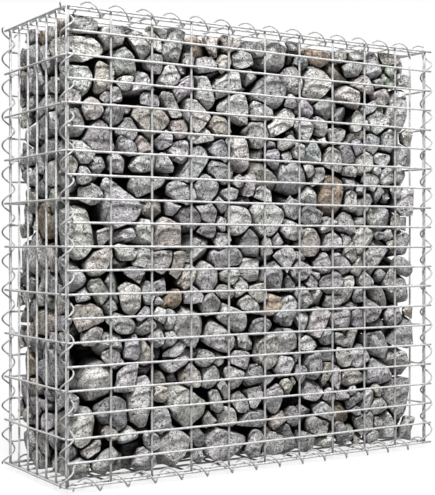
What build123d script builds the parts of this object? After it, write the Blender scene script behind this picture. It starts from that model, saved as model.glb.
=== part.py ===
from build123d import *
import math
import os

# Welded-mesh gabion wall: a stone-filled basket of six welded wire panels, laced along its
# long edges and upright corners by spiral binders. Millimetres, +Z up, X along the wall,
# Y through it, origin on the ground under the middle of the wall. The front faces -Y.

# Mesh panels
CELLS_LONG = 10            # cells along the wall
CELLS_HIGH = 20            # fine cells up the front and back panels, an even number
CELLS_DEEP = 6             # cells through the wall, on the ends, base and lid
MESH_FINE = 50.0           # pitch of the fine wires
MESH_COARSE = 2 * MESH_FINE   # pitch of the coarse wires, so that a binder laces both kinds
WIRE = 5.0                 # mesh wire diameter
WELD_SINK = 0.3            # how far crossing wires are pressed into each other at a weld
WIRE_SIDES = 6             # sides of a mesh bar, whose flats lie on the wires that it crosses
EDGE_DROP = 1.7            # lid and base mid-planes inside the front panel's end wires
OVERHANG = 14.0            # front, back and left wires past the far binder's axis

# Spiral binders
COIL_CLEAR = 0.7           # binder to the edge wires that it holds together
COIL_WIRE = 4.0            # wire diameter
TURN_FINE_CELLS = 4 / 3    # one turn spans this many fine cells: three turns lace four cells
SEAT_GAP = 0.3             # clearance between a binder and the wires that it rests on
COIL_END_GAP = 2.5         # long binders stop this far clear of the upright ones
UPRIGHT_END_PAST = 6.0     # corner binders end this far above the top wire

# Stone fill
COURSES = 14               # courses of stones, one above the other
STONE = 70.0               # usual stone size
STONE_BULGE = 11.0         # how far a stone's face stands out of the course's outline
FILL_GAP_LEFT = 10.0       # fill to the left end panel
FILL_GAP_RIGHT = 34.0      # the stones settled away from the right end
FILL_GAP_FRONT = 4.0       # fill to the front panel
FILL_GAP_BACK = 12.0       # fill to the back panel
FILL_GAP_TOP = 8.0         # top course to the lid
COURSE_SLOPE = 16.0        # degrees that a course's faces lean in above and below its middle
COURSE_INSETS = [4, 0, 6, 1, 5, 2, 7, 0, 4, 1, 6, 2, 5, 9]

# Directions
ALONG = (1, 0, 0)
THROUGH = (0, 1, 0)
UP = (0, 0, 1)

# Places that follow from the sizes above
HALF_WIRE = WIRE / 2
WIRE_SHIFT = (WIRE - WELD_SINK) / 2
LENGTH = CELLS_LONG * MESH_COARSE
HEIGHT = CELLS_HIGH * MESH_FINE
DEPTH = CELLS_DEEP * MESH_FINE
BAR_CORNER = HALF_WIRE / math.cos(math.pi / WIRE_SIDES)
WIRES_APART = HALF_WIRE + BAR_CORNER + SEAT_GAP
AXIS_X = LENGTH / 2 + WIRES_APART - WIRE_SHIFT
AXIS_Y = DEPTH / 2 + WIRES_APART + WIRE_SHIFT
END_WALL = AXIS_X - WIRE_SHIFT - HALF_WIRE - SEAT_GAP
COIL_RADIUS = math.hypot(WIRES_APART + WIRE_SHIFT, WIRE_SHIFT) + BAR_CORNER + COIL_CLEAR + COIL_WIRE / 2
COIL_OUTER = COIL_RADIUS + COIL_WIRE / 2
FRONT_WIRE_LOW = COIL_OUTER - EDGE_DROP
AXIS_LOW = FRONT_WIRE_LOW + EDGE_DROP
AXIS_HIGH = FRONT_WIRE_LOW + HEIGHT - EDGE_DROP
COIL_PITCH = TURN_FINE_CELLS * MESH_FINE
LACE_STEP = MESH_FINE / 6   # a binder passes each wire this far along its axis, or more
WIRE_LAG_ANGLE = math.asin(WIRE_SHIFT / COIL_RADIUS)
WIRE_LAG = COIL_PITCH * WIRE_LAG_ANGLE / (2 * math.pi)
LEAD_SLOPE = COIL_PITCH / (2 * math.pi * COIL_RADIUS * math.cos(WIRE_LAG_ANGLE))
WIRE_REACH = (HALF_WIRE + COIL_WIRE / 2 + SEAT_GAP) * math.hypot(1, LEAD_SLOPE)
EARLY_SEAT = max(0, LACE_STEP - WIRE_LAG - WIRE_REACH)
LATE_SEAT = max(0, LACE_STEP + WIRE_LAG - WIRE_REACH)


def bar(start, end, flats_face):
    """A straight mesh wire from one point to another, with flats on both sides of it."""
    start, end = Vector(*start), Vector(*end)
    along = (end - start).normalized()
    section = RegularPolygon(BAR_CORNER, WIRE_SIDES)
    place = Plane(origin=start, x_dir=along.cross(Vector(*flats_face)), z_dir=along)
    return extrude(place * section, (end - start).length)


def welded(bars):
    """Bars fused where they cross, as one welded panel."""
    return bars[0].fuse(*bars[1:])


def spaced(middle, count, pitch):
    """Positions of a row of wires about its middle."""
    return [middle + (i - count / 2) * pitch for i in range(count + 1)]


def upright_panel_along(side):
    """Front (side -1) or back (side 1) panel: level wires outside, one end left long."""
    level_y = side * (AXIS_Y + WIRE_SHIFT)
    upright_y = side * (AXIS_Y - WIRE_SHIFT)
    left = -LENGTH / 2 - HALF_WIRE
    right = AXIS_X + OVERHANG
    levels = spaced(FRONT_WIRE_LOW + HEIGHT / 2, CELLS_HIGH, MESH_FINE)
    bars = [bar((left, level_y, z), (right, level_y, z), THROUGH) for z in levels]
    bottom, top = levels[0] - HALF_WIRE, levels[-1] + HALF_WIRE
    for x in spaced(0, CELLS_LONG, MESH_COARSE):
        bars.append(bar((x, upright_y, bottom), (x, upright_y, top), THROUGH))
    return welded(bars)


def upright_panel_across(side, back_overhang):
    """Left (side -1) or right (side 1) end panel: level wires outside."""
    level_x = side * (AXIS_X + WIRE_SHIFT)
    upright_x = side * (AXIS_X - WIRE_SHIFT)
    front = -DEPTH / 2 - HALF_WIRE
    back = AXIS_Y + OVERHANG if back_overhang else DEPTH / 2 + HALF_WIRE
    cells_up = round(HEIGHT / MESH_COARSE)
    levels = spaced(FRONT_WIRE_LOW + HEIGHT / 2, cells_up, MESH_COARSE)
    bars = [bar((level_x, front, z), (level_x, back, z), ALONG) for z in levels]
    bottom, top = levels[0] - HALF_WIRE, levels[-1] + HALF_WIRE
    for y in spaced(0, CELLS_DEEP, MESH_FINE):
        bars.append(bar((upright_x, y, bottom), (upright_x, y, top), ALONG))
    return welded(bars)


def level_panel(axis_z, outward):
    """Lid (outward 1) or base (outward -1): wires through the wall lie outside."""
    cross_z = axis_z + outward * WIRE_SHIFT
    long_z = axis_z - outward * WIRE_SHIFT
    half_deep = DEPTH / 2 + HALF_WIRE
    edge = END_WALL - BAR_CORNER
    bars = []
    for y in spaced(0, CELLS_DEEP, MESH_FINE):
        bars.append(bar((-END_WALL, y, long_z), (END_WALL, y, long_z), UP))
    for x in [-edge] + spaced(0, CELLS_LONG, MESH_COARSE)[1:-1] + [edge]:
        bars.append(bar((x, -half_deep, cross_z), (x, half_deep, cross_z), UP))
    return welded(bars)


def binder(place, start, end, turn_zero):
    """A spiral binder about the local Z axis: turn_zero is where it crosses local +X."""
    turn = 360 * (start - turn_zero) / COIL_PITCH
    path = Helix(COIL_PITCH, end - start, COIL_RADIUS)
    section = Plane(origin=path @ 0, z_dir=path % 0) * Circle(COIL_WIRE / 2)
    return place * Pos(0, 0, start) * Rot(0, 0, turn) * sweep(section, path=path, is_frenet=True)


def upright_binders():
    """The four corner binders, each let down until it rests on the level wires it laces."""
    first_wire, last_wire = FRONT_WIRE_LOW, FRONT_WIRE_LOW + HEIGHT
    turn_zero = first_wire + MESH_FINE - LACE_STEP
    outer_end = last_wire + UPRIGHT_END_PAST
    corners = {
        "front_left": (-1, -1, first_wire, outer_end, EARLY_SEAT),
        "front_right": (1, -1, first_wire + LACE_STEP, last_wire - LACE_STEP, EARLY_SEAT),
        "back_right": (1, 1, first_wire, outer_end, EARLY_SEAT),
        "back_left": (-1, 1, first_wire, outer_end, LATE_SEAT),
    }
    binders = {}
    for name, (side_x, side_y, start, end, let_down) in corners.items():
        place = Plane(origin=(side_x * AXIS_X, side_y * AXIS_Y, 0), x_dir=(1, 0, 0), z_dir=(0, 0, 1))
        binders[f"{name}_corner_binder"] = binder(place.location, start, end, turn_zero - let_down)
    return binders


def long_binders():
    """The four binders along the long edges, each slid until it rests on a wire it laces."""
    half_reach = AXIS_X - COIL_OUTER - COIL_END_GAP
    turn_zero = -LENGTH / 2 + MESH_FINE / 2
    edges = {
        "top_front": (-1, AXIS_HIGH, EARLY_SEAT),
        "top_back": (1, AXIS_HIGH, -EARLY_SEAT),
        "bottom_front": (-1, AXIS_LOW, -EARLY_SEAT),
        "bottom_back": (1, AXIS_LOW, EARLY_SEAT),
    }
    binders = {}
    for name, (side_y, axis_z, shift) in edges.items():
        place = Plane(origin=(0, side_y * AXIS_Y, axis_z), x_dir=(0, 1, 0), z_dir=(1, 0, 0))
        binders[f"{name}_edge_binder"] = binder(place.location, -half_reach, half_reach, turn_zero + shift)
    return binders


def side_of_stones(start, end, half_first):
    """One side of a course's outline: a row of arcs, each the rounded face of a stone."""
    start, end = Vector(*start), Vector(*end)
    length = (end - start).length
    along = (end - start).normalized()
    outward = Vector(along.Y, -along.X)
    count = max(2, round(length / STONE))
    step = length / count
    stops = [step * i for i in range(count + 1)]
    if half_first:
        stops = [0] + [step * (i + 0.5) for i in range(count)] + [length]
    arcs = []
    for near, far in zip(stops, stops[1:]):
        bulge = STONE_BULGE * (far - near) / step
        top = start + along * ((near + far) / 2) + outward * bulge
        arcs.append(ThreePointArc(start + along * near, top, start + along * far))
    return arcs


def stone_course(index):
    """One course of the fill: a scalloped slab that leans in above and below its middle."""
    low = AXIS_LOW + WIRE_SHIFT + HALF_WIRE
    high = AXIS_HIGH - WIRE_SHIFT - HALF_WIRE - FILL_GAP_TOP
    height = (high - low) / COURSES
    middle = low + height * (index + 0.5)
    inset = COURSE_INSETS[index % len(COURSE_INSETS)]
    if index in (0, COURSES - 1):
        inset = max(inset, COIL_OUTER - WIRE_SHIFT - HALF_WIRE)
    inset += STONE_BULGE
    left = -AXIS_X + WIRE_SHIFT + HALF_WIRE + FILL_GAP_LEFT + inset
    right = AXIS_X - WIRE_SHIFT - HALF_WIRE - FILL_GAP_RIGHT - inset
    front = -AXIS_Y + WIRE_SHIFT + HALF_WIRE + FILL_GAP_FRONT + inset
    back = AXIS_Y - WIRE_SHIFT - HALF_WIRE - FILL_GAP_BACK - inset
    corners = [(left, front), (right, front), (right, back), (left, back)]
    arcs = []
    for start, end in zip(corners, corners[1:] + corners[:1]):
        arcs += side_of_stones(start, end, index % 2 == 1)
    outline = make_face(Wire(arcs))
    upper = extrude(outline, height / 2, taper=COURSE_SLOPE)
    return Pos(0, 0, middle) * (upper + mirror(upper, about=Plane.XY))


def main():
    os.makedirs("parts", exist_ok=True)
    pieces = {
        "front_mesh_panel": upright_panel_along(-1),
        "back_mesh_panel": upright_panel_along(1),
        "left_mesh_panel": upright_panel_across(-1, True),
        "right_mesh_panel": upright_panel_across(1, False),
        "base_mesh_panel": level_panel(AXIS_LOW, -1),
        "lid_mesh_panel": level_panel(AXIS_HIGH, 1),
    }
    pieces.update(upright_binders())
    pieces.update(long_binders())
    for index in range(COURSES):
        pieces[f"stone_course_{index + 1:02d}"] = stone_course(index)
    for name, piece in pieces.items():
        piece.label = name
        export_step(piece, f"parts/{name}.step")


main()
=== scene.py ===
import itertools
import math

import bpy
import numpy as np
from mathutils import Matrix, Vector


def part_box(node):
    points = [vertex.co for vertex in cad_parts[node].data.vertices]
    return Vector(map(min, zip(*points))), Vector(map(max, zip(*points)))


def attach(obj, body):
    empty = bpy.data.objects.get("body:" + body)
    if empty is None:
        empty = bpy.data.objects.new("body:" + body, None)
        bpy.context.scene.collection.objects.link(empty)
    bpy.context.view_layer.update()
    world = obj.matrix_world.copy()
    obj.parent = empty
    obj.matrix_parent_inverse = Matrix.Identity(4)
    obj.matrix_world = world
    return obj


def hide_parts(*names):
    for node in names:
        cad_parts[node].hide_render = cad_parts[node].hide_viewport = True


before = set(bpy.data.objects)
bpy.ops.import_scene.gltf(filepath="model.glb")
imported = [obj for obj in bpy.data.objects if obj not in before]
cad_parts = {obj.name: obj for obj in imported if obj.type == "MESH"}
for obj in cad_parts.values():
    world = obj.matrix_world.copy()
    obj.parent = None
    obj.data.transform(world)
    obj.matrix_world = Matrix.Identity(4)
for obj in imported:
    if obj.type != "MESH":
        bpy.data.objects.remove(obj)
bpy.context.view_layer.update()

# Basket, as the frame has it. Lengths are in metres here and below
CELLS_LONG = 10
CELLS_HIGH = 20
CELLS_DEEP = 6
MESH_COARSE = 0.100
MESH_FINE = 0.050
WIRE_RADIUS = 0.0025
COIL_WIRE_RADIUS = 0.002
COIL_PITCH = MESH_FINE * 4 / 3

# Stones: their sizes, and how spheres make singles, pairs and trios of them
SEED = 41
STONE_MEDIAN = 0.047
STONE_SPREAD = 0.36
STONE_SMALLEST = 0.022
STONE_LARGEST = 0.100
KIND_ODDS = [0.22, 0.40, 0.38]
KIND_RADIUS = {1: 1.0, 2: 0.84, 3: 0.76}
KIND_VOLUME = {1: 1.0, 2: 1.0, 3: 0.95}
PAIR_REACH = (0.45, 0.75)
TRIO_REACH = (0.5, 0.8)
TRIO_STRETCH = (1.0, 1.35)
TRIO_SCATTER = 0.25
LIE_FLAT = 0.45
SOLID_SHARE = 0.66

# How they are pushed apart
PUSH_ROUNDS = 120
PUSH_SHARE = 0.4
PUSH_SLACK = 0.010
NEIGHBOUR_ROUNDS = 8
PAIR_BATCH = 256
REACH_UP = 0.115
TINY_LENGTH = 1e-6
TINY_SPREAD = 1e-9

# How they are cut, broken and worn
CUT_SLACK = 0.022
GAP = 0.0013
LEAST_REACH = 0.16
BREAKS = (9, 15)
BREAK_SCATTER = 0.30
BREAK_DEPTH = (0.80, 1.06)
WORN = (8, 36)
RIPPLE = 0.012
RIPPLE_LENGTHS = (0.045, 0.026, 0.015)
FLAT_CORNER = 1e-3
CORNER_SLACK = 1e-7
TINY_SIDE = 1e-12

# How finely they are meshed, by how deep they lie
COURSES = 14
FINE_WIDTH = 0.050
FINE_DEPTH = 0.036
SHOWN_DEPTH = 0.044
FINE_CELLS = 3
SHOWN_CELLS = 2
HIDDEN_CELLS = 1

# The box that they fill, and how far each stone may stay short of its sides
FILL_LEFT = -0.4975
FILL_RIGHT = 0.478
FILL_FRONT = -0.1525
FILL_BACK = 0.148
FILL_TOP = 1.0065
WALL_INSETS = {
    "left": 0.010,
    "right": 0.034,
    "front": 0.010,
    "back": 0.014,
    "bottom": 0.006,
    "top": 0.022,
    "back corner": 0.016,
}
WALL_TILT = 0.16
WALL_NEAR = 1.6
WALL_LEAST = 0.4
BINDER_ROOM = 0.0165
BACK_CORNER_ROOM = 0.040

# Wires: their shape, then their zinc, then the painted shade that darkens some wires
WIRE_SIDES = 10
COIL_SIDES = 10
COIL_STEPS = 28
COIL_END = 0.0016
BENDS = (0.00025, 0.000125)
BEND_LENGTHS = (0.31, 0.13)
BEND_STEP = 0.04
LEAST_STEPS = 4
UPRIGHT_RISE = 0.1
MESH_TONE = 0.78
BINDER_TONE = 0.57
NO_PAINTED_SHADE = 1.0
# Painted shade: the front and back uprights and the end panels' level wires are painted darker than the
# rest, standing in for how the light falls on them
PAINTED_SHADE_UPRIGHT = 0.66
PAINTED_SHADE_LEVEL = 0.82
SPANGLE = {"scale": 180, "detail": 3}
WIRE_MOTTLE = ((0.35, 0.65), (0.72, 1.0))
WIRE_ROUGHNESS = ((0.2, 0.8), (0.32, 0.50))
WIRE_METALLIC = 0.06
WIRE_GLOSS = 0.2

# Camera, light and floor. Each lamp has a place, a target, a size and a power in watts
PHOTO_HEIGHT = 495
FOCAL_PIXELS = 1105.3
SENSOR = 36.0
CAMERA_PLACE = (-1.4801, -2.2500, 0.5127)
CAMERA_YAW = -0.5723
WORLD_LIGHT = 0.20
FLOOR_HALF = 12.0
FLOOR_ROUGHNESS = 0.9
FLOOR_WHITE = (0.84, 1.0)
FLOOR_WHITE_FROM = (0.7, 2.4)
FLOOR_TONE = 0.25
FLOOR_TONE_SEEN = 0.95
LIGHTS = [
    ("key", (-1.3, -2.2, 3.8), (0, 0, 0.5), (0.7, 0.7), 248),
    ("fill", (2.6, -2.8, 1.2), (0, 0, 0.5), (2.0, 2.0), 12),
    ("back", (2.4, 3.0, 2.4), (0, 0, 0.5), (2.0, 2.0), 80),
]

# Stone colours, with how common each is
STONE_COLOURS = [
    ((0.70, 0.685, 0.675), 0.36),
    ((0.60, 0.59, 0.59), 0.26),
    ((0.40, 0.395, 0.40), 0.07),
    ((0.66, 0.615, 0.56), 0.10),
    ((0.80, 0.77, 0.73), 0.10),
    ((0.62, 0.595, 0.62), 0.07),
    ((0.54, 0.44, 0.35), 0.03),
    ((0.56, 0.575, 0.51), 0.02),
]
SHADE_SPREAD = (0.8, 1.2)
TINT_SPREAD = 0.015
PALEST = 0.92

# Patterns of the stone: noises, then what each does to the tone and to the surface. The tone also carries
# painted shade between the stones and on stones deep in the fill
STONE_NOISES = {
    "clouds": {"scale": 38, "detail": 4},
    "layers": {"scale": 55, "detail": 5, "roughness": 0.6, "distortion": 0.6},
    "cracks": {"scale": 26, "detail": 3, "roughness": 0.55, "distortion": 1.4},
    "grain": {"scale": 190, "detail": 4, "roughness": 0.7},
    "pits": {"scale": 130, "detail": 3, "roughness": 0.6},
    "ridges": {"scale": 60, "detail": 6, "roughness": 0.65},
    "facets": {"scale": 34, "detail": 4, "kind": "RIDGED_MULTIFRACTAL"},
}
IN_LAYERS = ("layers", "cracks")
LAYER_SQUEEZE = (1.0, 1.0, 4.5)
STONE_TONES = {
    "clouds": ((0.3, 0.7), (0.75, 1.25)),
    "layers": ((0.35, 0.65), (0.78, 1.2)),
    "grain": ((0.36, 0.64), (0.70, 1.30)),
    "cracks": ((0.0, 0.026), (0.2, 1.0)),
    "pits": ((0.34, 0.42), (0.15, 1.0)),
    # Painted shade: ambient occlusion darkens the colour where stones lie close to each other
    "painted_crevice_shade": ((0.34, 0.86), (0.05, 1.0)),
    # Painted shade: stones deeper than about 12 mm in the fill are painted darker, nearly black by 46 mm
    "depth": ((0.012, 0.046), (1.0, 0.02)),
}
STONE_BUMPS = {
    "facets": (0.9, 0.005),
    "ridges": (1.0, 0.012),
    "layers": (0.8, 0.004),
    "pits": (0.8, 0.005),
    "grain": (0.5, 0.003),
}
# How far the painted shade between stones reaches, and how many rays it takes
PAINTED_CREVICE_SHADE_REACH = 0.013
PAINTED_CREVICE_SHADE_SAMPLES = 8
STONE_TURN_AXIS = (0.5, 0.62, 0.6)
STONE_TURN = 40.0
STONE_SHIFT = (7.0, 11.0, 5.0)
STONE_ROUGHNESS = 0.8
STONE_GLOSS = 0.25

rng = np.random.default_rng(SEED)


def node_box(name):
    low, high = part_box(name)
    return np.array(low), np.array(high)


# Stone packing


def close_pairs(places, radii, slack):
    """Pairs of spheres that are nearer to each other than slack."""
    order = np.argsort(places[:, 2])
    ordered, ordered_radii = places[order], radii[order]
    firsts, seconds = [], []
    for start in range(0, len(order), PAIR_BATCH):
        end = min(start + PAIR_BATCH, len(order))
        last = np.searchsorted(ordered[:, 2], ordered[end - 1, 2] + REACH_UP)
        apart = ordered[start:end, None] - ordered[None, start:last]
        limit = ordered_radii[start:end, None] + ordered_radii[None, start:last] + slack
        first, second = np.nonzero((apart**2).sum(axis=2) < limit**2)
        later = second > first
        firsts.append(order[start + first[later]])
        seconds.append(order[start + second[later]])
    return np.concatenate(firsts), np.concatenate(seconds)


def clump_layout(kind, radius):
    """Sphere centres of one stone about its middle: a single, a long pair or a flat three."""
    if kind == 1:
        return np.zeros((1, 3))
    if kind == 2:
        half = radius * rng.uniform(*PAIR_REACH)
        return np.array([[-half, 0, 0], [half, 0, 0]])
    reach = radius * rng.uniform(*TRIO_REACH)
    turns = np.radians([0, 120, 240]) + rng.normal(0, TRIO_SCATTER, 3)
    across = np.cos(turns) * rng.uniform(*TRIO_STRETCH)
    layout = reach * np.column_stack([across, np.sin(turns), np.zeros(3)])
    return layout - layout.mean(axis=0)


def make_clumps(low, high):
    """Stones as clumps of spheres, scattered through a box, as many as fill it."""
    size = high - low
    volume = size.prod() * SOLID_SHARE
    clumps = []
    while volume > 0:
        width = STONE_MEDIAN * math.exp(rng.normal(0, STONE_SPREAD))
        width = float(np.clip(width, STONE_SMALLEST, STONE_LARGEST))
        kind = int(rng.choice([1, 2, 3], p=KIND_ODDS))
        radius = width / 2 * KIND_RADIUS[kind]
        layout = clump_layout(kind, radius)
        turn = turn_flat_to(random_turn(), np.array([0.0, 0.0, 1.0]), LIE_FLAT)
        place = low + rng.random(3) * size
        clumps.append((place, layout @ turn.T, radius))
        volume -= math.pi / 6 * width**3 * KIND_VOLUME[kind]
    return clumps


def settle(clumps, low, high):
    """Pushes overlapping stones apart, each keeping its shape, until they lie beside each other."""
    owner = np.concatenate([np.full(len(layout), i) for i, (_, layout, _) in enumerate(clumps)])
    rest = np.vstack([layout for _, layout, _ in clumps])
    radii = np.concatenate([np.full(len(layout), radius) for _, layout, radius in clumps])
    spheres = np.vstack([place + layout for place, layout, _ in clumps])
    sizes = np.bincount(owner).astype(float)
    middles = np.zeros((len(clumps), 3))
    for step in range(PUSH_ROUNDS):
        if step % NEIGHBOUR_ROUNDS == 0:
            first, second = close_pairs(spheres, radii, PUSH_SLACK)
            apart_owner = owner[first] != owner[second]
            first, second = first[apart_owner], second[apart_owner]
        apart = spheres[second] - spheres[first]
        distance = np.maximum(np.linalg.norm(apart, axis=1), TINY_LENGTH)
        overlap = np.maximum(radii[first] + radii[second] - distance, 0)
        shove = apart * (PUSH_SHARE * overlap / distance)[:, None]
        moved = spheres.copy()
        for axis in range(3):
            moved[:, axis] += np.bincount(second, shove[:, axis], len(spheres))
            moved[:, axis] -= np.bincount(first, shove[:, axis], len(spheres))
        moved = np.clip(moved, low + radii[:, None], high - radii[:, None])
        for axis in range(3):
            middles[:, axis] = np.bincount(owner, moved[:, axis]) / sizes
        offset = moved - middles[owner]
        spread = np.zeros((len(clumps), 3, 3))
        np.add.at(spread, owner, offset[:, :, None] * rest[:, None, :])
        spread += TINY_SPREAD * np.eye(3)
        left, _, right = np.linalg.svd(spread)
        turn = left @ right
        flip = np.linalg.det(turn) < 0
        left[flip, :, 2] *= -1
        turn[flip] = left[flip] @ right[flip]
        rest = np.einsum("nij,nj->ni", turn[owner], rest)
        spheres = middles[owner] + rest
    return owner, spheres, radii, middles


def random_turn():
    """A random rotation matrix."""
    q = rng.normal(size=4)
    w, x, y, z = q / np.linalg.norm(q)
    return np.array([
        [1 - 2 * (y * y + z * z), 2 * (x * y - z * w), 2 * (x * z + y * w)],
        [2 * (x * y + z * w), 1 - 2 * (x * x + z * z), 2 * (y * z - x * w)],
        [2 * (x * z - y * w), 2 * (y * z + x * w), 1 - 2 * (x * x + y * y)],
    ])


def turn_flat_to(turn, normal, lean_spread):
    """Turns a stone so that its shortest axis lies roughly along a direction."""
    lean = normal + rng.normal(0, lean_spread, 3)
    third = lean / np.linalg.norm(lean)
    first = turn[:, 0] - third * (turn[:, 0] @ third)
    first /= np.linalg.norm(first)
    return np.column_stack([first, np.cross(third, first), third])


def scattered_normals(count):
    """Directions spread over a sphere, unevenly, as the faces of a broken stone are."""
    index = np.arange(count) + 0.5
    height = 1 - 2 * index / count
    around = index * math.pi * (3 - math.sqrt(5))
    ring = np.sqrt(1 - height**2)
    normals = np.column_stack([ring * np.cos(around), ring * np.sin(around), height]) @ random_turn().T
    normals += rng.normal(0, BREAK_SCATTER, normals.shape)
    return normals / np.linalg.norm(normals, axis=1)[:, None]


TRIOS = {}


def trios_of(count):
    """Every choice of three out of so many planes, kept for the next stone."""
    if count not in TRIOS:
        TRIOS[count] = np.array(list(itertools.combinations(range(count), 3)))
    return TRIOS[count]


def faces_between(normals, reach):
    """The faces of the solid that a set of planes about the origin leaves, each a ring of corners."""
    trios = trios_of(len(normals))
    systems = normals[trios]
    solvable = np.abs(np.linalg.det(systems)) > FLAT_CORNER
    trios = trios[solvable]
    corners = np.linalg.solve(systems[solvable], reach[trios][..., None])[..., 0]
    inside = (corners @ normals.T < reach + CORNER_SLACK).all(axis=1)
    trios, corners = trios[inside], corners[inside]
    faces = []
    for index, normal in enumerate(normals):
        ring = corners[(trios == index).any(axis=1)]
        if len(ring) < 3:
            continue
        offset = ring - ring.mean(axis=0)
        side = np.cross(normal, offset[0])
        side /= max(np.linalg.norm(side), TINY_SIDE)
        turn = np.arctan2(offset @ side, offset @ np.cross(side, normal))
        faces.append(ring[np.argsort(turn)])
    return faces


def face_patch(ring, cells):
    """One face as rings of points from its middle out to its edge."""
    share = np.arange(cells) / cells
    following = np.roll(ring, -1, axis=0)
    edge = (ring[:, None] + share[None, :, None] * (following - ring)[:, None]).reshape(-1, 3)
    middle = ring.mean(axis=0)
    rings = [middle + (edge - middle) * (step + 1) / cells for step in range(cells)]
    points = np.vstack([middle[None]] + rings)
    around = len(edge)
    here = np.arange(around)
    beyond = (here + 1) % around
    triangles = [np.column_stack([np.zeros(around, dtype=int), 1 + here, 1 + beyond])]
    for step in range(cells - 1):
        near, far = 1 + step * around, 1 + (step + 1) * around
        triangles.append(np.column_stack([near + here, far + here, far + beyond]))
        triangles.append(np.column_stack([near + here, far + beyond, near + beyond]))
    return points, np.vstack(triangles)


def ripple(points):
    """Low lumps on a stone's surface."""
    total = np.zeros(len(points))
    for wave_length in RIPPLE_LENGTHS:
        waves = rng.normal(size=(3, 3))
        waves *= (2 * math.pi / wave_length) / np.linalg.norm(waves, axis=1)[:, None]
        phases = rng.random(3) * 2 * math.pi
        total += wave_length * np.sin(points @ waves.T + phases).sum(axis=1)
    return RIPPLE * total


def worn_points(points, normals, reach, wear):
    """Points of a broken stone drawn in a little where its faces meet."""
    distance = np.linalg.norm(points, axis=1)
    directions = points / distance[:, None]
    facing = np.maximum(directions @ normals.T, 0) / reach
    worn = (facing**wear).sum(axis=1) ** (-1 / wear)
    grow = 1 + ripple(points) / distance.mean()
    return directions * (worn * grow)[:, None]


def own_walls(walls, middle, width):
    """The fill's sides near a stone: each with an inset and a tilt of the stone's own."""
    normals, reaches = [], []
    for name, normal, reach in walls:
        room = reach - normal @ middle
        if room > WALL_NEAR * width:
            continue
        normals.append(normal)
        reaches.append(room)
        if name in WALL_INSETS:
            tilted = normal + rng.normal(0, WALL_TILT, 3)
            normals.append(tilted / np.linalg.norm(tilted))
            reaches.append(max(room - WALL_INSETS[name] * rng.random(), WALL_LEAST * room))
    return normals, reaches


def shape_stone(index, clumps, near, walls, cells):
    """One broken stone: its neighbours, the fill's sides and its own breaks all cut it."""
    owner, spheres, radii, middles, members = clumps
    middle = middles[index]
    own, own_radii = spheres[members[index]] - middle, radii[members[index]]
    normals, reaches = [], []
    for other in near[index]:
        apart = spheres[members[other]][None] - spheres[members[index]][:, None]
        distance = np.linalg.norm(apart, axis=2)
        room = distance - own_radii[:, None] - radii[members[other]][None]
        a, b = np.unravel_index(room.argmin(), room.shape)
        normal = apart[a, b] / distance[a, b]
        squares = distance[a, b] ** 2 + own_radii[a] ** 2 - radii[members[other]][b] ** 2
        meet = squares / (2 * distance[a, b])
        normals.append(normal)
        reaches.append(meet - GAP + normal @ own[a])
    width = 2 * own_radii.max()
    wall_normals, wall_reaches = own_walls(walls, middle, width)
    breaks = scattered_normals(rng.integers(*BREAKS))
    support = (own @ breaks.T + own_radii[:, None]).max(axis=0)
    normals = np.vstack(normals + wall_normals + [breaks])
    reaches = np.concatenate([reaches, wall_reaches, support * rng.uniform(*BREAK_DEPTH, len(breaks))])
    reaches = np.maximum(reaches, LEAST_REACH * width)
    wear = rng.uniform(*WORN)
    points, triangles, count = [], [], 0
    for ring in faces_between(normals, reaches):
        patch, patch_triangles = face_patch(ring, cells)
        points.append(patch)
        triangles.append(patch_triangles + count)
        count += len(patch)
    return middle + worn_points(np.vstack(points), normals, reaches, wear), np.vstack(triangles)


def fill_walls(low, high):
    """The sides of the fill and the bevels that keep it clear of the binders, with outward normals."""
    names = [("left", "right"), ("front", "back"), ("bottom", "top")]
    walls = []
    for axis in range(3):
        normal = np.eye(3)[axis]
        walls.append((names[axis][0], -normal, -low[axis]))
        walls.append((names[axis][1], normal, high[axis]))
    for axis, binders in ((0, "edge"), (2, "corner")):
        across = [other for other in range(3) if other != axis]
        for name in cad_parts:
            if name.endswith(f"{binders}_binder"):
                box_low, box_high = node_box(name)
                place = (box_low + box_high) / 2
                normal = np.zeros(3)
                for other in across:
                    normal[other] = 1.0 if place[other] > (low[other] + high[other]) / 2 else -1.0
                normal /= np.linalg.norm(normal)
                walls.append(("binder", normal, normal @ place - BINDER_ROOM))
                if name.startswith("back") and binders == "corner":
                    walls.append(("back corner", normal, normal @ place - BACK_CORNER_ROOM))
    return walls


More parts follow.
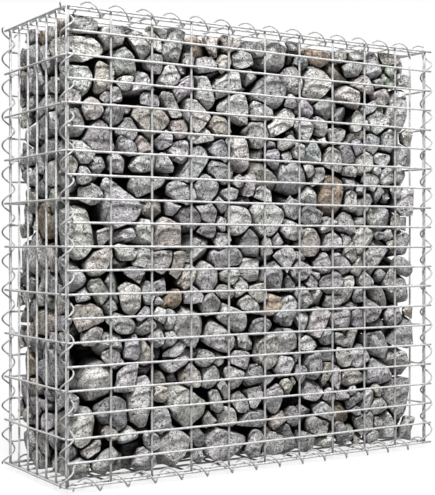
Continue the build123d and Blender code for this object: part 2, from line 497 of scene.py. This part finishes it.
def stone_meshes(low, high):
    """All the stones as one joined mesh for each course, with a colour and, for painted shade, a depth at
    each point.
    """
    owner, spheres, radii, middles = settle(make_clumps(low, high), low, high)
    first, second = close_pairs(spheres, radii, CUT_SLACK)
    near = [set() for _ in middles]
    for a, b in zip(owner[first], owner[second]):
        if a != b:
            near[a].add(b)
            near[b].add(a)
    members = [np.nonzero(owner == i)[0] for i in range(len(middles))]
    clumps = (owner, spheres, radii, middles, members)
    walls = fill_walls(low, high)
    palette = np.array([tone for tone, _ in STONE_COLOURS])
    odds = np.array([share for _, share in STONE_COLOURS])
    course_height = (high[2] - low[2]) / COURSES
    kinds = ("points", "faces", "colours", "depths", "seeds")
    courses = [{kind: [] for kind in kinds} | {"count": 0} for _ in range(COURSES)]
    for i, middle in enumerate(middles):
        shown = min(middle[0] - low[0], middle[1] - low[1], high[2] - middle[2])
        depth = min(np.min(middle - low), np.min(high - middle))
        cells = SHOWN_CELLS if depth < SHOWN_DEPTH else HIDDEN_CELLS
        if shown < FINE_DEPTH and radii[members[i]].max() > FINE_WIDTH / 2:
            cells = FINE_CELLS
        points, triangles = shape_stone(i, clumps, near, walls, cells)
        points = np.clip(points, low, high)
        colour = palette[rng.choice(len(palette), p=odds / odds.sum())]
        colour = colour * rng.uniform(*SHADE_SPREAD) * (1 + rng.normal(0, TINT_SPREAD, 3))
        course = courses[int(np.clip((middle[2] - low[2]) / course_height, 0, COURSES - 1))]
        course["faces"].append(triangles + course["count"])
        course["points"].append(points)
        course["count"] += len(points)
        course["colours"].append(np.tile(np.append(colour, 1.0), (len(points), 1)))
        # How deep each point lies in the fill, which drives the painted shade of deep stones
        course["depths"].append(np.minimum((points - low).min(axis=1), (high - points).min(axis=1)))
        course["seeds"].append(np.full(len(points), rng.random()))
    return courses


def mesh_from_faces(name, points, faces):
    """A smooth-shaded mesh object from arrays, whose faces all have as many corners."""
    corners = faces.shape[1]
    mesh = bpy.data.meshes.new(name)
    mesh.vertices.add(len(points))
    mesh.vertices.foreach_set("co", points.ravel())
    mesh.loops.add(faces.size)
    mesh.loops.foreach_set("vertex_index", faces.ravel())
    mesh.polygons.add(len(faces))
    mesh.polygons.foreach_set("loop_start", np.arange(0, faces.size, corners))
    mesh.update(calc_edges=True)
    mesh.polygons.foreach_set("use_smooth", np.ones(len(faces), dtype=bool))
    mesh.validate()
    piece = bpy.data.objects.new(name, mesh)
    bpy.context.scene.collection.objects.link(piece)
    return piece


def add_values(mesh, name, kind, values):
    layer = mesh.attributes.new(name, kind, "POINT")
    layer.data.foreach_set("color" if kind == "FLOAT_COLOR" else "value", values.ravel())


def build_stones(material):
    lowest, _ = node_box("stone_course_01")
    fill_low = np.array([FILL_LEFT, FILL_FRONT, lowest[2]])
    fill_high = np.array([FILL_RIGHT, FILL_BACK, FILL_TOP])
    for index, course in enumerate(stone_meshes(fill_low, fill_high)):
        node = f"stone_course_{index + 1:02d}"
        points, faces = np.vstack(course["points"]), np.vstack(course["faces"])
        piece = mesh_from_faces(f"stones_{index + 1:02d}", points, faces)
        add_values(piece.data, "stone_colour", "FLOAT_COLOR", np.vstack(course["colours"]))
        add_values(piece.data, "depth_for_painted_shade", "FLOAT", np.concatenate(course["depths"]))
        add_values(piece.data, "stone_seed", "FLOAT", np.concatenate(course["seeds"]))
        piece.data.materials.append(material)
        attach(piece, "root")
        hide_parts(node)


# Wires


def tube(path, sides, radius, across):
    """Points and quads of a round tube along a path, closed by its end rings."""
    along = np.gradient(path, axis=0)
    along /= np.linalg.norm(along, axis=1)[:, None]
    side = across - along * (along * across).sum(axis=1)[:, None]
    side /= np.linalg.norm(side, axis=1)[:, None]
    up = np.cross(along, side)
    turns = np.arange(sides) * 2 * math.pi / sides
    rings = (
        path[:, None]
        + radius * np.cos(turns)[None, :, None] * side[:, None]
        + radius * np.sin(turns)[None, :, None] * up[:, None]
    )
    points = np.vstack([rings.reshape(-1, 3), path[:1], path[-1:]])
    quads = []
    for ring in range(len(path) - 1):
        for i in range(sides):
            j = (i + 1) % sides
            near, far = ring * sides, (ring + 1) * sides
            quads.append([near + i, near + j, far + j, far + i])
    start, end = len(points) - 2, len(points) - 1
    last = (len(path) - 1) * sides
    for i in range(0, sides, 2):
        j, k = (i + 1) % sides, (i + 2) % sides
        quads.append([start, k, j, i])
        quads.append([end, last + i, last + j, last + k])
    return points, np.array(quads)


def join(parts):
    """Points, quads and painted shades of several wires, each as one array."""
    points, quads, painted_shades, count = [], [], [], 0
    for part_points, part_quads, painted_shade in parts:
        points.append(part_points)
        quads.append(part_quads + count)
        painted_shades.append(np.full(len(part_points), painted_shade))
        count += len(part_points)
    return np.vstack(points), np.vstack(quads), np.concatenate(painted_shades)


def bent_line(start, end):
    """A drawn wire's path: nearly straight, with the slight bends that real mesh has."""
    start, end = np.array(start), np.array(end)
    length = np.linalg.norm(end - start)
    steps = max(LEAST_STEPS, int(length / BEND_STEP))
    share = np.linspace(0, 1, steps + 1)
    path = start + share[:, None] * (end - start)
    for axis in range(3):
        if abs(end[axis] - start[axis]) < TINY_LENGTH:
            phase = rng.random(2) * 2 * math.pi
            for wave_length, size, start_phase in zip(BEND_LENGTHS, BENDS, phase):
                path[:, axis] += size * np.sin(2 * math.pi * length / wave_length * share + start_phase)
    return path


def wire(start, end, painted_shade=NO_PAINTED_SHADE):
    """Points and quads of one mesh wire, and the painted shade that darkens it (1 for none)."""
    rise = abs(end[2] - start[2])
    across = np.array([0.0, 0.0, 1.0]) if rise < UPRIGHT_RISE else np.array([1.0, 0.0, 0.0])
    return *tube(bent_line(start, end), WIRE_SIDES, WIRE_RADIUS, across), painted_shade


def spaced(middle, cells, pitch):
    """The places of the wires on both sides of each cell in a row."""
    return [middle + (i - cells / 2) * pitch for i in range(cells + 1)]


def finish_wires(name, node, parts, material):
    """One piece from its wires, in place of a CAD node."""
    points, quads, painted_shades = join(parts)
    piece = mesh_from_faces(name, points, quads)
    # Each point keeps its wire's painted shade
    add_values(piece.data, "painted_wire_shade", "FLOAT", painted_shades)
    piece.data.materials.append(material)
    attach(piece, "root")
    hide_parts(node)


def panel_layers(name, axis, outward):
    """A CAD panel's box, and the middles of its outer and inner layer of wires."""
    low, high = node_box(f"{name}_mesh_panel")
    outer, inner = (low[axis], high[axis]) if outward < 0 else (high[axis], low[axis])
    return low, high, outer - outward * WIRE_RADIUS, inner + outward * WIRE_RADIUS


def finish_panel(name, parts, material):
    finish_wires(f"{name}_mesh", f"{name}_mesh_panel", parts, material)


def build_panels(material):
    for name, outward in (("front", -1), ("back", 1)):
        low, high, level_y, upright_y = panel_layers(name, 1, outward)
        levels = spaced((low[2] + high[2]) / 2, CELLS_HIGH, MESH_FINE)
        parts = [wire((low[0], level_y, z), (high[0], level_y, z)) for z in levels]
        bottom, top = levels[0] - WIRE_RADIUS, levels[-1] + WIRE_RADIUS
        for x in spaced(0, CELLS_LONG, MESH_COARSE):
            # Painted shade: these uprights are painted darker
            parts.append(wire((x, upright_y, bottom), (x, upright_y, top), PAINTED_SHADE_UPRIGHT))
        finish_panel(name, parts, material)
    for name, outward in (("left", -1), ("right", 1)):
        low, high, level_x, upright_x = panel_layers(name, 0, outward)
        levels = spaced((low[2] + high[2]) / 2, CELLS_HIGH // 2, MESH_COARSE)
        # Painted shade: these level wires are painted darker
        parts = [wire((level_x, low[1], z), (level_x, high[1], z), PAINTED_SHADE_LEVEL) for z in levels]
        bottom, top = levels[0] - WIRE_RADIUS, levels[-1] + WIRE_RADIUS
        for y in spaced(0, CELLS_DEEP, MESH_FINE):
            parts.append(wire((upright_x, y, bottom), (upright_x, y, top)))
        finish_panel(name, parts, material)
    for name, outward in (("base", -1), ("lid", 1)):
        low, high, cross_z, long_z = panel_layers(name, 2, outward)
        parts = [wire((low[0], y, long_z), (high[0], y, long_z)) for y in spaced(0, CELLS_DEEP, MESH_FINE)]
        edge = high[0] - WIRE_RADIUS
        for x in [-edge] + spaced(0, CELLS_LONG, MESH_COARSE)[1:-1] + [edge]:
            parts.append(wire((x, low[1], cross_z), (x, high[1], cross_z)))
        finish_panel(name, parts, material)


def binder_path(node, low, high):
    """The centreline of a spiral binder, wound as the CAD binder is."""
    axis = int(np.argmax(high - low))
    second, third = (axis + 1) % 3, (axis + 2) % 3
    points = np.array([node.matrix_world @ v.co for v in node.data.vertices])
    middle = (low + high) / 2
    turn = np.arctan2(points[:, third] - middle[third], points[:, second] - middle[second])
    start = np.exp(1j * (turn - 2 * math.pi * points[:, axis] / COIL_PITCH)).mean()
    radius = max(high[second] - low[second], high[third] - low[third]) / 2 - COIL_WIRE_RADIUS
    ends = low[axis] + COIL_END, high[axis] - COIL_END
    along = np.linspace(*ends, int((ends[1] - ends[0]) / COIL_PITCH * COIL_STEPS) + 1)
    turn = 2 * math.pi * along / COIL_PITCH + np.angle(start)
    path = np.zeros((len(along), 3))
    path[:, axis] = along
    path[:, second] = middle[second] + radius * np.cos(turn)
    path[:, third] = middle[third] + radius * np.sin(turn)
    return path, np.eye(3)[axis]


def build_binders(material):
    for name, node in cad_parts.items():
        if name.endswith("_binder"):
            path, across = binder_path(node, *node_box(name))
            parts = [(*tube(path, COIL_SIDES, COIL_WIRE_RADIUS, across), NO_PAINTED_SHADE)]
            finish_wires(name.replace("_binder", "_spiral"), name, parts, material)


# Materials


def new_material(name):
    material = bpy.data.materials.new(name)
    material.use_nodes = True
    tree = material.node_tree
    return material, tree, tree.nodes["Principled BSDF"]


def add(tree, kind, **settings):
    node = tree.nodes.new(kind)
    for key, value in settings.items():
        setattr(node, key, value)
    return node


def noise(tree, place, scale, detail, roughness=0.5, distortion=0.0, kind="FBM"):
    node = add(tree, "ShaderNodeTexNoise", noise_type=kind)
    node.inputs["Scale"].default_value = scale
    node.inputs["Detail"].default_value = detail
    node.inputs["Roughness"].default_value = roughness
    node.inputs["Distortion"].default_value = distortion
    tree.links.new(place, node.inputs["Vector"])
    return node.outputs["Fac"]


def spread_out(tree, value, before, after):
    """A value's range eased onto another range, and held at its ends."""
    node = add(tree, "ShaderNodeMapRange", interpolation_type="SMOOTHSTEP")
    node.inputs["From Min"].default_value, node.inputs["From Max"].default_value = before
    node.inputs["To Min"].default_value, node.inputs["To Max"].default_value = after
    tree.links.new(value, node.inputs["Value"])
    return node.outputs["Result"]


def from_middle(tree, value):
    """How far a noise is from its middle value: near 0 along thin winding lines."""
    less = add(tree, "ShaderNodeMath", operation="SUBTRACT")
    less.inputs[1].default_value = 0.5
    tree.links.new(value, less.inputs[0])
    size = add(tree, "ShaderNodeMath", operation="ABSOLUTE")
    tree.links.new(less.outputs[0], size.inputs[0])
    return size.outputs[0]


def product(tree, *values):
    """Several values multiplied."""
    total = values[0]
    for value in values[1:]:
        node = add(tree, "ShaderNodeMath", operation="MULTIPLY")
        tree.links.new(total, node.inputs[0])
        tree.links.new(value, node.inputs[1])
        total = node.outputs[0]
    return total


def bump(tree, height, strength, distance, below=None):
    node = add(tree, "ShaderNodeBump")
    node.inputs["Strength"].default_value = strength
    node.inputs["Distance"].default_value = distance
    tree.links.new(height, node.inputs["Height"])
    if below:
        tree.links.new(below, node.inputs["Normal"])
    return node.outputs["Normal"]


def own_place(tree, seed):
    """A point's place in its own stone's pattern, turned and shifted by the stone's seed."""
    place = add(tree, "ShaderNodeTexCoord")
    angle = add(tree, "ShaderNodeMath", operation="MULTIPLY")
    angle.inputs[1].default_value = STONE_TURN
    tree.links.new(seed, angle.inputs[0])
    turned = add(tree, "ShaderNodeVectorRotate", rotation_type="AXIS_ANGLE")
    turned.inputs["Axis"].default_value = STONE_TURN_AXIS
    tree.links.new(angle.outputs[0], turned.inputs["Angle"])
    tree.links.new(place.outputs["Object"], turned.inputs["Vector"])
    shift = add(tree, "ShaderNodeVectorMath", operation="MULTIPLY_ADD")
    shift.inputs[1].default_value = STONE_SHIFT
    tree.links.new(seed, shift.inputs[0])
    tree.links.new(turned.outputs[0], shift.inputs[2])
    return shift.outputs[0]


def stone_material():
    """Grey stone with clouds, layers, cracks and pits, with painted shade between the stones and on stones
    that lie deep in the fill.
    """
    material, tree, shader = new_material("crushed_stone")
    link = tree.links.new
    colour = add(tree, "ShaderNodeAttribute", attribute_name="stone_colour")
    seed = add(tree, "ShaderNodeAttribute", attribute_name="stone_seed")
    # Painted shade: points deep in the fill are darkened by this depth
    depth = add(tree, "ShaderNodeAttribute", attribute_name="depth_for_painted_shade")
    # Painted shade: an ambient occlusion node darkens the colour between the stones
    painted_crevice_shade = add(tree, "ShaderNodeAmbientOcclusion", samples=PAINTED_CREVICE_SHADE_SAMPLES)
    painted_crevice_shade.inputs["Distance"].default_value = PAINTED_CREVICE_SHADE_REACH
    place = own_place(tree, seed.outputs["Fac"])
    squeezed = add(tree, "ShaderNodeVectorMath", operation="MULTIPLY")
    squeezed.inputs[1].default_value = LAYER_SQUEEZE
    link(place, squeezed.inputs[0])
    patterns = {"depth": depth.outputs["Fac"], "painted_crevice_shade": painted_crevice_shade.outputs["AO"]}
    for name, settings in STONE_NOISES.items():
        patterns[name] = noise(tree, squeezed.outputs[0] if name in IN_LAYERS else place, **settings)
    patterns["cracks"] = from_middle(tree, patterns["cracks"])
    # The tone multiplies the stone's patterns with its painted shade
    tones = [spread_out(tree, patterns[name], *ranges) for name, ranges in STONE_TONES.items()]
    tint = add(tree, "ShaderNodeVectorMath", operation="SCALE")
    link(colour.outputs["Color"], tint.inputs[0])
    link(product(tree, *tones), tint.inputs["Scale"])
    held = add(tree, "ShaderNodeVectorMath", operation="MINIMUM")
    held.inputs[1].default_value = (PALEST, PALEST, PALEST)
    link(tint.outputs[0], held.inputs[0])
    link(held.outputs[0], shader.inputs["Base Color"])
    shader.inputs["Roughness"].default_value = STONE_ROUGHNESS
    shader.inputs["Specular IOR Level"].default_value = STONE_GLOSS
    normal = None
    for name, (strength, distance) in STONE_BUMPS.items():
        normal = bump(tree, patterns[name], strength, distance, normal)
    link(normal, shader.inputs["Normal"])
    return material


def wire_material(name, tone):
    """Dull zinc coating, mottled a little, darkened by the painted shade that each wire carries."""
    material, tree, shader = new_material(name)
    place = add(tree, "ShaderNodeTexCoord")
    painted_shade = add(tree, "ShaderNodeAttribute", attribute_name="painted_wire_shade")
    spangle = noise(tree, place.outputs["Object"], **SPANGLE)
    tint = add(tree, "ShaderNodeVectorMath", operation="SCALE")
    tint.inputs[0].default_value = (tone, tone, tone)
    mottle = spread_out(tree, spangle, *WIRE_MOTTLE)
    # The painted shade darkens the zinc's colour
    tree.links.new(product(tree, mottle, painted_shade.outputs["Fac"]), tint.inputs["Scale"])
    tree.links.new(tint.outputs[0], shader.inputs["Base Color"])
    tree.links.new(spread_out(tree, spangle, *WIRE_ROUGHNESS), shader.inputs["Roughness"])
    shader.inputs["Metallic"].default_value = WIRE_METALLIC
    shader.inputs["Specular IOR Level"].default_value = WIRE_GLOSS
    return material


# Stage


def rays_that_see(tree):
    """Light Path, and 1 for the rays that carry a view: from the camera, mirrored or passed through."""
    light_path = add(tree, "ShaderNodeLightPath")
    seen = light_path.outputs["Is Camera Ray"]
    for other in ("Is Glossy Ray", "Is Transmission Ray"):
        either = add(tree, "ShaderNodeMath", operation="MAXIMUM")
        tree.links.new(seen, either.inputs[0])
        tree.links.new(light_path.outputs[other], either.inputs[1])
        seen = either.outputs[0]
    return light_path, seen


def build_stage():
    scene = bpy.context.scene
    world = bpy.data.worlds.new("studio")
    scene.world = world
    world.use_nodes = True
    tree = world.node_tree
    link = tree.links.new
    tree.nodes.clear()
    output = add(tree, "ShaderNodeOutputWorld")
    _, seen = rays_that_see(tree)
    soft = add(tree, "ShaderNodeBackground")
    soft.inputs["Color"].default_value = (1, 1, 1, 1)
    soft.inputs["Strength"].default_value = WORLD_LIGHT
    white = add(tree, "ShaderNodeBackground")
    white.inputs["Color"].default_value = (1, 1, 1, 1)
    white.inputs["Strength"].default_value = 1.0
    mix = add(tree, "ShaderNodeMixShader")
    link(seen, mix.inputs[0])
    link(soft.outputs[0], mix.inputs[1])
    link(white.outputs[0], mix.inputs[2])
    link(mix.outputs[0], output.inputs[0])

    floor_mesh = bpy.data.meshes.new("floor")
    half = FLOOR_HALF
    corners = [(-half, -half, 0), (half, -half, 0), (half, half, 0), (-half, half, 0)]
    floor_mesh.from_pydata(corners, [], [(0, 1, 2, 3)])
    floor = bpy.data.objects.new("floor", floor_mesh)
    scene.collection.objects.link(floor)
    material, tree, shader = new_material("pale_floor")
    link = tree.links.new
    shader.inputs["Roughness"].default_value = FLOOR_ROUGHNESS
    light_path, seen = rays_that_see(tree)
    tone = add(tree, "ShaderNodeMapRange")
    tone.inputs["To Min"].default_value, tone.inputs["To Max"].default_value = FLOOR_TONE, FLOOR_TONE_SEEN
    link(light_path.outputs["Is Camera Ray"], tone.inputs["Value"])
    link(tone.outputs["Result"], shader.inputs["Base Color"])
    glow = add(tree, "ShaderNodeEmission")
    share = add(tree, "ShaderNodeMath", operation="MULTIPLY")
    place = add(tree, "ShaderNodeTexCoord")
    far = add(tree, "ShaderNodeVectorMath", operation="LENGTH")
    link(place.outputs["Object"], far.inputs[0])
    link(spread_out(tree, far.outputs["Value"], FLOOR_WHITE_FROM, FLOOR_WHITE), share.inputs[1])
    link(seen, share.inputs[0])
    mix = add(tree, "ShaderNodeMixShader")
    link(share.outputs[0], mix.inputs[0])
    link(shader.outputs[0], mix.inputs[1])
    link(glow.outputs[0], mix.inputs[2])
    link(mix.outputs[0], tree.nodes["Material Output"].inputs[0])
    floor_mesh.materials.append(material)


def area_light(name, place, target, size, power):
    data = bpy.data.lights.new(name, "AREA")
    data.shape = "RECTANGLE"
    data.size, data.size_y = size
    data.energy = power
    lamp = bpy.data.objects.new(name, data)
    bpy.context.scene.collection.objects.link(lamp)
    lamp.location = place
    lamp.rotation_euler = (Vector(target) - Vector(place)).to_track_quat("-Z", "Y").to_euler()


def build_camera():
    data = bpy.data.cameras.new("camera")
    data.sensor_width = SENSOR
    data.lens = FOCAL_PIXELS / PHOTO_HEIGHT * SENSOR
    camera = bpy.data.objects.new("camera", data)
    bpy.context.scene.collection.objects.link(camera)
    camera.location = CAMERA_PLACE
    camera.rotation_euler = (math.radians(90), 0, CAMERA_YAW)
    bpy.context.scene.camera = camera


build_stage()
build_camera()
for light in LIGHTS:
    area_light(*light)
build_panels(wire_material("galvanised_mesh", MESH_TONE))
build_stones(stone_material())
build_binders(wire_material("galvanised_binder", BINDER_TONE))

bpy.context.scene.view_settings.view_transform = "Standard"
